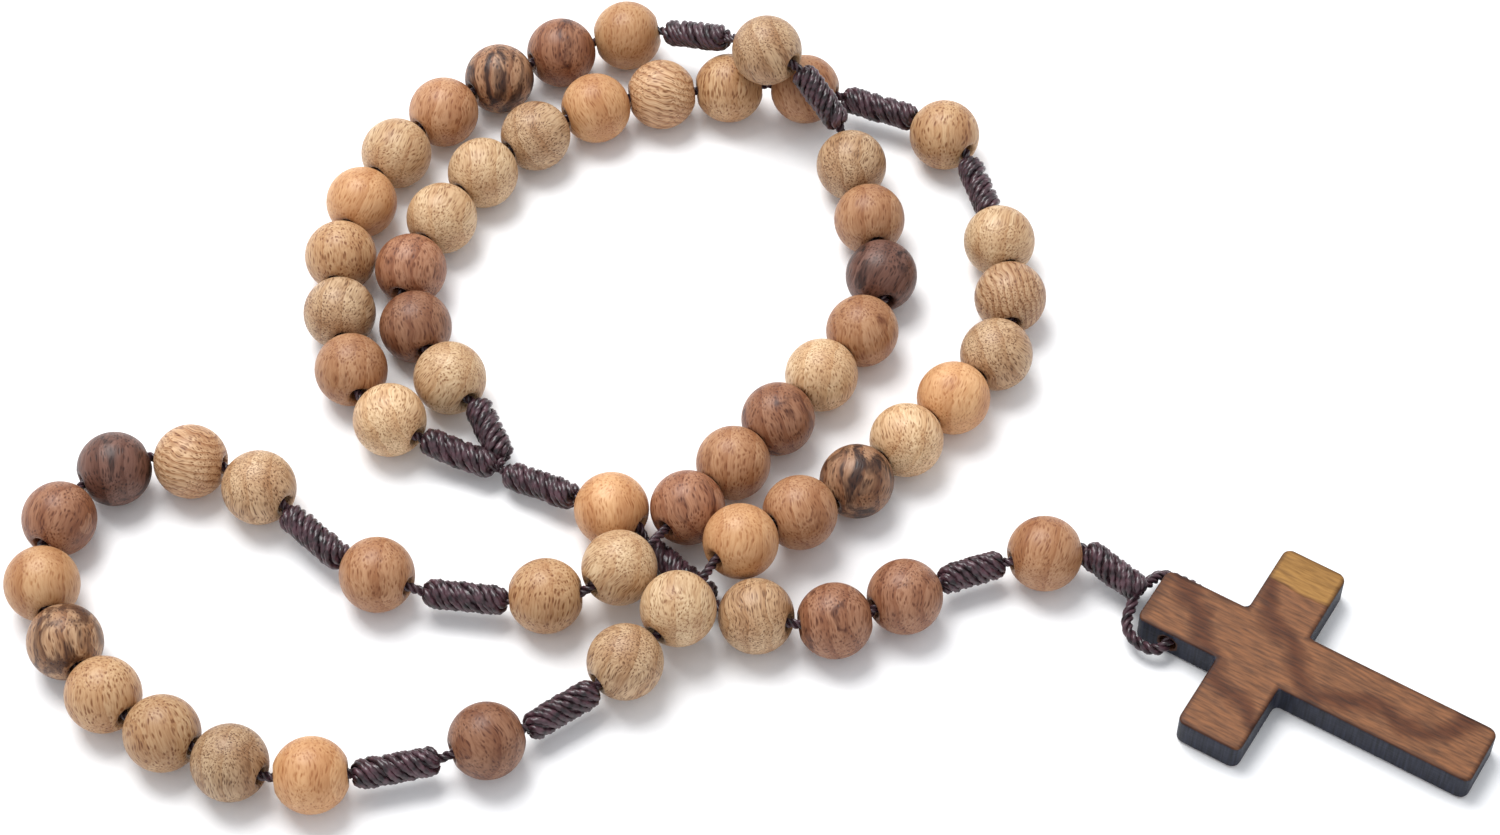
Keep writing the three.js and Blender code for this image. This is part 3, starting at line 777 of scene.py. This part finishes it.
# %% The ten woods, by what shows in each
# Each has its ring spacing in mm, the tints of its late wood and its fibres, its pore spacing in mm,
# and the tints of its pores and its dark figure.
WOODS = {
    "ash": turned_wood("ash", 3.4, "#eee2d6", "#cdb9a6", 0.3, "#b89f89", "#d8c3b0", ring_porous=0.2),
    "oak": turned_wood("oak", 2.8, "#e3d5c6", "#bba893", 0.27, "#9d8571", "#bfa892", ring_porous=0.2),
    "beech": turned_wood("beech", 4.2, "#eee2d6", "#d6c1ac", 0.4, "#b79a80", "#c6aa91"),
    "pear": turned_wood("pear", 5.0, "#efe3d7", "#e6d7c7", 0.35, "#ddcab7", "#cdb096"),
    "cherry": turned_wood("cherry", 3.6, "#e6d5c4", "#dccab8", 0.35, "#cdb5a0", "#b99b84", share=0.14),
    "larch": turned_wood("larch", 0.9, "#cbb199", "#cbb7a4", 0.3, "#b59d87", "#b49477", wavy=0.8),
    "sapele": turned_wood("sapele", 2.6, "#d8c2b2", "#d0b9a7", 0.35, "#b39886", "#9a7b69", share=0.2),
    "walnut": turned_wood("walnut", 3.2, "#cdb9ac", "#cdbcb0", 0.4, "#a39185", "#82706a", share=0.3),
    "rosewood": turned_wood("rosewood", 2.4, "#c5ad9d", "#cdbbac", 0.4, "#9a8574", "#6b564c", share=0.45),
    "olive": turned_wood("olive", 3.0, "#c9b29b", "#cdb9a5", 0.35, "#a58d78", "#8a7464", wavy=4.0, share=0.5),
}
print(len(WOODS), "woods")

# %% [markdown]
# ## Which bead is of which wood
# No two neighbours are alike. Each bead has its wood, how the grain lies in it, and whether its wood
# is paler or deeper than usual. "end" shows the end grain to someone who sits at the table, "up" has
# the grain running away from them, and "level" has it running from side to side. A wood has one
# usual colour here, and each bead strays a few per cent from it, as one plank differs from the next.

# %% The usual colour of each wood, and its shades
WOOD_COLOURS = {
    "ash": "#d6b993",
    "oak": "#c4a582",
    "beech": "#c6a27a",
    "pear": "#cfa275",
    "cherry": "#b58a66",
    "larch": "#d0ac86",
    "sapele": "#a07458",
    "walnut": "#765448",
    "rosewood": "#b08868",
    "olive": "#ba9775",
}
SHADES = {"pale": 1.15, "plain": 1.0, "deep": 0.84}

# %% The beads' woods, cuts and shades
DECADES = [
    """ash end pale, cherry up plain, oak end plain, beech up plain, pear up plain,
    ash end plain, cherry up pale, rosewood up plain, sapele up plain, pear up deep""",
    """oak end plain, cherry up plain, walnut up plain, cherry up plain, ash end pale,
    sapele up plain, cherry up plain, sapele up pale, ash end plain, beech up plain""",
    """oak end pale, larch level plain, walnut up plain, sapele up plain, pear up deep,
    olive up plain, beech up plain, beech up deep, oak end deep, pear up plain""",
    """oak end plain, ash end plain, pear up plain, cherry up plain, rosewood up deep,
    ash end pale, pear up pale, oak end plain, larch end deep, ash end plain""",
    """cherry up plain, beech up plain, larch level plain, pear up plain, oak end plain,
    ash end plain, ash end plain, sapele up pale, sapele up deep, ash end plain""",
]
OUR_FATHERS = """oak end plain, cherry up plain, sapele up deep, beech up plain,
    pear up pale, cherry up plain"""
PENDANT_BEADS = "oak end plain, sapele up plain, sapele up plain"

made_of = {}
for number, row in enumerate(DECADES, 1):
    made_of.update({hail(number, n): cut.split() for n, cut in enumerate(row.split(","), 1)})
made_of.update({f"our_father_bead_{n}": cut.split() for n, cut in enumerate(OUR_FATHERS.split(","), 1)})
made_of.update({f"pendant_bead_{n}": cut.split() for n, cut in enumerate(PENDANT_BEADS.split(","), 1)})
print(len(made_of), "beads described")

# %% [markdown]
# ## Turning the beads
# A bead is a profile turned about its bore: nearly a ball 9.9 mm across, whose bore has a small
# rolled mouth at each end where the drill's edge was sanded off. The bore goes right through, so the
# cord can be seen going in. Hand-fed beads are never perfectly round, so each one is a little out
# of round, by less than the thickness of a hair.

# %% The bead's profile: distance along the bore and out from it, in metres
BEAD_RADIUS = 4.95 * MM
BORE_RADIUS = 1.13 * MM
RIM_RADIUS = 1.85 * MM  # where the ball meets the rolled mouth of the bore
ROUND_STEPS = 26
BEAD_SIDES = 64


def bead_profile():
    first = math.asin(RIM_RADIUS / BEAD_RADIUS)
    swing_angles = np.linspace(first, math.pi - first, ROUND_STEPS)
    ball = [(BEAD_RADIUS * math.cos(a), BEAD_RADIUS * math.sin(a)) for a in swing_angles]
    mouth_rim = [(3.4, 1.13), (4.15, 1.14), (4.38, 1.2), (4.52, 1.36), (4.59, 1.6)]
    rim = [(z * MM, r * MM) for z, r in mouth_rim]
    far_rim = [(-z, r) for z, r in reversed(rim)]
    wall = [(z * MM, BORE_RADIUS) for z in (-1.8, 0.0, 1.8)]
    return np.array(rim + ball + far_rim + wall)


PROFILE = bead_profile()
print("profile of", len(PROFILE), "points")


# %% The direction of a bead's grain
def plank_turn(cut, rng):
    """Columns are the plank's X, Y and Z, where Z is the grain."""
    toward_seat = Vector((0, -math.cos(VIEW_ELEVATION), math.sin(VIEW_ELEVATION)))
    away = Vector((0, math.sin(VIEW_ELEVATION), math.cos(VIEW_ELEVATION)))
    sideways = Vector((1, 0, 0))
    lean = rng.choice([-1, 1]) * away + rng.uniform(-0.6, 0.6) * sideways
    main = {"end": toward_seat + 1.1 * lean, "up": away, "level": sideways}[cut]
    jitter = Vector([rng.gauss(0, 0.2) for _ in range(3)])
    grain = (main + jitter).normalized()
    out = away if cut == "level" else sideways
    out = out + Vector([rng.gauss(0, 0.3) for _ in range(3)])
    pith = (out - grain * out.dot(grain)).normalized()
    return Matrix((pith, grain.cross(pith), grain)).transposed()


# %% Turn one bead
SLOT_OF = {"ash": "pale_wood", "oak": "pale_wood", "larch": "pale_wood", "beech": "honey_wood"}
SLOT_OF |= {"pear": "orange_wood", "cherry": "orange_wood", "sapele": "brown_wood"}
SLOT_OF |= {"walnut": "dark_wood", "rosewood": "figured_wood", "olive": "figured_wood"}


def turned_bead(bead, wood, cut, shade):
    rng = random.Random("turned " + bead["name"])
    axis = bead["axis"]
    side = np.cross(axis, [0, 0, 1.0])
    side /= np.linalg.norm(side)
    top = np.cross(side, axis)
    turn = np.linspace(0, 2 * math.pi, BEAD_SIDES, endpoint=False)
    wave, phase = rng.uniform(0.2, 0.7), rng.uniform(0, 6.28)
    round_ness = 1 - 0.006 * wave * (1 + np.cos(2 * turn + phase))
    along = PROFILE[:, 0][:, None, None] * axis
    spoke = side * np.cos(turn)[:, None] + top * np.sin(turn)[:, None]
    out = PROFILE[:, 1][:, None, None] * (spoke * round_ness[:, None])[None]
    points = (along + out).reshape(-1, 3)
    plank = plank_turn(cut, rng)
    from_pith = Vector((rng.uniform(14, 40) * MM, 0, rng.uniform(-100, 100) * MM))
    points = points @ np.array(plank) + np.array(from_pith)
    count = len(PROFILE)
    index = np.arange(count * BEAD_SIDES).reshape(count, BEAD_SIDES)
    after, beside = np.roll(index, -1, 0), np.roll(index, -1, 1)
    faces = np.stack([index, beside, np.roll(after, -1, 1), after], -1).reshape(-1, 4).tolist()
    piece = new_piece("turned_" + bead["name"], points, faces, WOODS[wood])
    place = Matrix.Translation(bead["centre"]) @ plank.to_4x4() @ Matrix.Translation(-from_pith)
    piece.matrix_world = place
    stain = piece.data.attributes.new("bead_colour", "FLOAT_COLOR", "POINT")
    strength = SHADES[shade] * rng.uniform(0.96, 1.04)
    colour = [strength * channel for channel in linear(WOOD_COLOURS[wood])[:3]] + [1.0]
    stain.data.foreach_set("color", np.tile(colour, len(points)))
    return piece


# %% Turn all the beads
for bead in loop_beads + pendant_beads:
    wood, cut, shade = made_of[bead["name"]]
    piece = turned_bead(bead, wood, cut, shade)
    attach(piece, node_of[bead["name"]])
    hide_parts(node_of[bead["name"]])
print("turned", len(made_of), "beads of", len(piece.data.polygons), "faces each")

# %% [markdown]
# ## The cross
# The cross is cut by laser from a 4.6 mm board, which chars its walls almost black and scorches the
# very edge of its faces. The faces were then sanded and waxed. Its shape is one outline with
# rounded corners, pushed straight up. A plain extrusion has perfect edges, so the solid is
# remeshed finely and its edges are then worn a little, and its faces get the low ridges of the
# grain.

# %% The cross's outline, in millimetres: down from the hole, and across
CROSS_LENGTH, CROSS_WIDTH, ARM = 47.0, 31.0, 8.9
BAR_MIDDLE = 16.0
CORNER, INNER_CORNER = 1.2, 0.8


def cross_corners():
    top, foot = -HOLE_FROM_TOP, CROSS_LENGTH - HOLE_FROM_TOP
    bar_top = BAR_MIDDLE - ARM / 2 - HOLE_FROM_TOP
    bar_foot = bar_top + ARM
    a, w = ARM / 2, CROSS_WIDTH / 2
    half = [(top, a), (bar_top, a), (bar_top, w), (bar_foot, w), (bar_foot, a), (foot, a)]
    return half + [(x, -y) for x, y in reversed(half)]


def rounded(corners):
    """The outline with an arc in place of each corner."""
    outline = []
    count = len(corners)
    for i, here in enumerate(corners):
        here = Vector(here)
        back = (Vector(corners[i - 1]) - here).normalized()
        on = (Vector(corners[(i + 1) % count]) - here).normalized()
        radius = INNER_CORNER if i in (1, 4, 7, 10) else CORNER
        centre = here + (back + on) * radius
        for step in np.linspace(0, 1, 7):
            spoke = (-on * (1 - step) - back * step).normalized()
            outline.append(centre + spoke * radius)
    return outline


outline = rounded(cross_corners())
print("outline of", len(outline), "points")


# %% The solid cross, with its hole from side to side
def cross_solid():
    ring_of = [(-2.3, 0.25), (-2.05, 0.0), (2.05, 0.0), (2.22, 0.06), (2.3, 0.25)]
    count = len(outline)
    points = []
    for height, inset in ring_of:
        for i, here in enumerate(outline):
            tangent = (outline[(i + 1) % count] - outline[i - 1]).normalized()
            inward = Vector((tangent.y, -tangent.x))
            points.append((*((here + inward * inset) * MM), height * MM))
    faces = []
    for level in range(len(ring_of) - 1):
        for i in range(count):
            j = (i + 1) % count
            low, high = level * count, (level + 1) * count
            faces.append([low + i, low + j, high + j, high + i])
    faces.append(list(range(count)))
    faces.append(list(range((len(ring_of) - 1) * count, len(ring_of) * count)))
    return new_piece("waxed_cross", points, faces)


cross = cross_solid()
DRILL_RADIUS, DRILL_REACH = 1.2 * MM, 6.0 * MM
VOXEL = 0.2 * MM
drill_line = np.array([(0, y, 0) for y in np.linspace(-DRILL_REACH, DRILL_REACH, 5)])
drill_ring = np.full((5, 40), DRILL_RADIUS)
drill = new_piece("drill", *swept_tube(drill_line, *squares_to(drill_line), drill_ring))
for name, kind, settings in (
    ("hole", "BOOLEAN", {"object": drill, "operation": "DIFFERENCE", "solver": "EXACT"}),
    ("grid", "REMESH", {"mode": "VOXEL", "voxel_size": VOXEL, "use_smooth_shade": True}),
    ("sanding", "SMOOTH", {"factor": 0.5, "iterations": 3}),
):
    modifier = cross.modifiers.new(name, kind)
    for setting, value in settings.items():
        setattr(modifier, setting, value)
    with bpy.context.temp_override(object=cross, active_object=cross):
        bpy.ops.object.modifier_apply(modifier=name)
bpy.data.objects.remove(drill)
print("cross mesh:", len(cross.data.vertices), "points")


# %% How far each point of the face is from the edge, for the scorch
def depth_inside(x, y):
    """How deep a place lies inside the outline, in millimetres, from two overlapping bars."""
    top, foot = -HOLE_FROM_TOP, CROSS_LENGTH - HOLE_FROM_TOP
    bar = BAR_MIDDLE - HOLE_FROM_TOP
    upright = np.minimum(ARM / 2 - np.abs(y), np.minimum(x - top, foot - x))
    crossbar = np.minimum(CROSS_WIDTH / 2 - np.abs(y), ARM / 2 - np.abs(x - bar))
    return np.maximum(upright, crossbar)


sanded = np.empty(len(cross.data.vertices) * 3)
cross.data.vertices.foreach_get("co", sanded)
sanded = sanded.reshape(-1, 3) / MM
depth = depth_inside(sanded[:, 0], sanded[:, 1])
on_face = np.clip((np.abs(sanded[:, 2]) - 1.9) / 0.3, 0, 1)
in_bore = (np.hypot(sanded[:, 0], sanded[:, 2]) < 1.5) & (np.abs(sanded[:, 2]) < 1.6)
top_end = np.clip(1 - (sanded[:, 0] + HOLE_FROM_TOP) / 2.6, 0, 1)
scorch = np.where(on_face > 0.5, np.maximum(np.clip(1 - depth / 1.1, 0, 1), 0.88 * top_end), 1.0)
scorch[in_bore] = 0.9
char = cross.data.attributes.new("char", "FLOAT", "POINT")
char.data.foreach_set("value", scorch)

# %% Wear the edges and raise the grain
for vertex, down, across_mm, height, inside in zip(cross.data.vertices, *sanded.T, depth):
    along_grain = Vector((down * 0.12, across_mm * 1.6, height * 1.6))
    ridge = noise.noise(along_grain) + 0.5 * noise.noise(along_grain * 2.3)
    dent = noise.noise(Vector((down, across_mm, height)) * 0.55)
    worn = max(0.0, 0.5 - inside) * max(0.0, abs(height) - 1.7)
    sink = (0.022 * ridge + 0.018 * dent - 0.022) * MM
    vertex.co.z += math.copysign(1, height) * (sink if abs(height) > 1.9 else 0)
    vertex.co.z -= math.copysign(1, height) * 0.25 * worn * max(0.0, dent) * MM

# %% [markdown]
# ## The wood of the cross
# The board is walnut: mid brown, with fine fibres along the upright and a broad darker wave that
# runs slantwise through the middle. One tip of the crossbar reaches into the pale golden sapwood.
# The charred walls are slate black.

# %% The walnut and its char
def laser_cut_walnut():
    material = new_material("laser_cut_waxed_walnut")
    board = add(material, "TexCoord").outputs["Object"]
    fine = add(material, "Mapping", {"Vector": board, "Scale": (0.42 / MM, 3.2 / MM, 3.2 / MM)})
    bundle = add(material, "TexNoise", {"Vector": fine.outputs[0], "Scale": 1.0, "Detail": 5.0})
    tone = add(material, "ValToRGB", {"Fac": bundle.outputs[0]})
    tone.color_ramp.elements[0].position = 0.3
    tone.color_ramp.elements[0].color = linear("#5a3b28")
    tone.color_ramp.elements[1].position = 0.7
    tone.color_ramp.elements[1].color = linear("#8a5b3b")
    # The dark waves are growth rings 10 mm apart, round a middle that lies beside the board.
    from_middle = add(material, "Mapping", {"Vector": board, "Location": (-26, -18, 0), "Scale": TO_MM})
    wave = add(
        material,
        "TexWave",
        {
            "Vector": from_middle.outputs[0],
            "Scale": 0.314 / 10,
            "Distortion": 4.0,
            "Detail": 3.0,
            "Detail Scale": 3.0,
            "Phase Offset": 3.3,
        },
        wave_type="RINGS",
        rings_direction="Z",
    )
    band = add(material, "MapRange", {"Value": wave.outputs["Fac"], "From Min": 0.55, "From Max": 1.0})
    dark = add(
        material,
        "Mix",
        {0: band.outputs[0], MIX_A: tone.outputs[0], MIX_B: linear("#b7a39c")},
        data_type="RGBA",
        blend_type="MULTIPLY",
    )
    # Sapwood starts 9.7 mm from the middle of the board, with a dark line before it.
    wobble = add(material, "TexNoise", {"Vector": from_middle.outputs[0], "Scale": 0.15, "Detail": 3.0})
    apart = add(material, "SeparateXYZ", {0: board})
    offset = add(
        material,
        "Math",
        {0: wobble.outputs[0], 1: 2.2 * MM, 2: apart.outputs[1]},
        operation="MULTIPLY_ADD",
    )
    sapwood = add(
        material,
        "MapRange",
        {"Value": offset.outputs[0], "From Min": 10.7 * MM, "From Max": 11.3 * MM},
    )
    border = add(material, "ValToRGB", {"Fac": sapwood.outputs[0]})
    border.color_ramp.elements[0].color = linear("#ffffff")
    border.color_ramp.elements[1].color = linear("#ffffff")
    middle_stop = border.color_ramp.elements.new(0.35)
    middle_stop.color = linear("#a98672")
    edge_line = add(
        material,
        "Mix",
        {0: 1.0, MIX_A: dark.outputs[MIX_RESULT], MIX_B: border.outputs[0]},
        data_type="RGBA",
        blend_type="MULTIPLY",
    )
    gold = add(material, "ValToRGB", {"Fac": bundle.outputs[0]})
    gold.color_ramp.elements[0].position = 0.3
    gold.color_ramp.elements[0].color = linear("#7c5729")
    gold.color_ramp.elements[1].position = 0.7
    gold.color_ramp.elements[1].color = linear("#a2773f")
    face = add(
        material,
        "Mix",
        {0: sapwood.outputs[0], MIX_A: edge_line.outputs[MIX_RESULT], MIX_B: gold.outputs[0]},
        data_type="RGBA",
    )
    char = add(material, "Attribute", attribute_name="char").outputs["Fac"]
    # The laser leaves fine upright marks on the walls, here 0.35 mm apart.
    marks = add(material, "Mapping", {"Vector": board, "Scale": (2.9 / MM, 2.9 / MM, 0.2 / MM)})
    mark = add(material, "TexNoise", {"Vector": marks.outputs[0], "Scale": 1.0, "Detail": 2.0})
    soot = add(material, "ValToRGB", {"Fac": mark.outputs[0]})
    soot.color_ramp.elements[0].position = 0.3
    soot.color_ramp.elements[0].color = linear("#12141d")
    soot.color_ramp.elements[1].position = 0.75
    soot.color_ramp.elements[1].color = linear("#2d3040")
    scorched = add(
        material,
        "MapRange",
        {"Value": char, "From Min": 0.35, "From Max": 0.95, "To Max": 0.85},
    )
    toasted = add(
        material,
        "Mix",
        {0: scorched.outputs[0], MIX_A: face.outputs[MIX_RESULT], MIX_B: linear("#6f5350")},
        data_type="RGBA",
        blend_type="MULTIPLY",
    )
    burnt = add(material, "MapRange", {"Value": char, "From Min": 0.93, "From Max": 0.99})
    colour = add(
        material,
        "Mix",
        {0: burnt.outputs[0], MIX_A: toasted.outputs[MIX_RESULT], MIX_B: soot.outputs[0]},
        data_type="RGBA",
    )
    rough = add(material, "MapRange", {"Value": bundle.outputs[0], "To Min": 0.42, "To Max": 0.62})
    bump = add(
        material,
        "Bump",
        {"Height": bundle.outputs[0], "Strength": 0.5, "Distance": 0.05 * MM},
    )
    return surface(
        material,
        colour.outputs[MIX_RESULT],
        rough.outputs[0],
        bump.outputs[0],
        **{"IOR": 1.45, "Specular IOR Level": 0.25},
    )


# %% Put the cross in its place
cross.data.materials.append(laser_cut_walnut())
cross.data.shade_smooth()
cross.matrix_world = cross_frame
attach(cross, "cross")
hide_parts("cross")
print("cross size, mm:", [round(size / MM, 2) for size in cross.dimensions])

# %% [markdown]
# ## The table and the light
# The table is plain and nearly white, and the light is soft: a bright room on all sides, and one
# large lamp above and a little behind the left side, so that shadows fall softly towards the seat.

# %% Table
table = new_piece("table", [(-2, -2, 0), (2, -2, 0), (2, 2, 0), (-2, 2, 0)], [[0, 1, 2, 3]])
table.location.z = -0.02 * MM


def white_table():
    material = new_material("matt_white_laminate")
    place = add(material, "TexCoord")
    speck = add(
        material,
        "TexNoise",
        {"Vector": place.outputs["Object"], "Scale": 900.0, "Detail": 2.0},
    )
    shade = add(material, "ValToRGB", {"Fac": speck.outputs[0]})
    shade.color_ramp.elements[0].color = linear("#f3f3f3")
    shade.color_ramp.elements[1].color = linear("#f8f8f8")
    rough = add(material, "MapRange", {"Value": speck.outputs[0], "To Min": 0.75, "To Max": 0.85})
    bump = add(material, "Bump", {"Height": speck.outputs[0], "Strength": 0.02, "Distance": 0.01 * MM})
    return surface(material, shade.outputs[0], rough.outputs[0], bump.outputs[0], **{"IOR": 1.5})


table.data.materials.append(white_table())

# %% Light
room = bpy.data.worlds.new("bright_room")
room.use_nodes = True
room.node_tree.nodes["Background"].inputs["Color"].default_value = linear("#f7faff")
room.node_tree.nodes["Background"].inputs["Strength"].default_value = 0.8
bpy.context.scene.world = room


def soft_lamp(name, place, size, power):
    lamp = bpy.data.lights.new(name, "AREA")
    lamp.size = size
    lamp.energy = power
    holder = bpy.data.objects.new(name, lamp)
    holder.location = place
    holder.rotation_euler = (-Vector(place)).to_track_quat("-Z", "Y").to_euler()
    bpy.context.scene.collection.objects.link(holder)
    return holder


soft_lamp("lamp_above", (-0.25, 0.35, 0.9), 0.6, 10.5)
bpy.context.scene.view_settings.view_transform = "Standard"
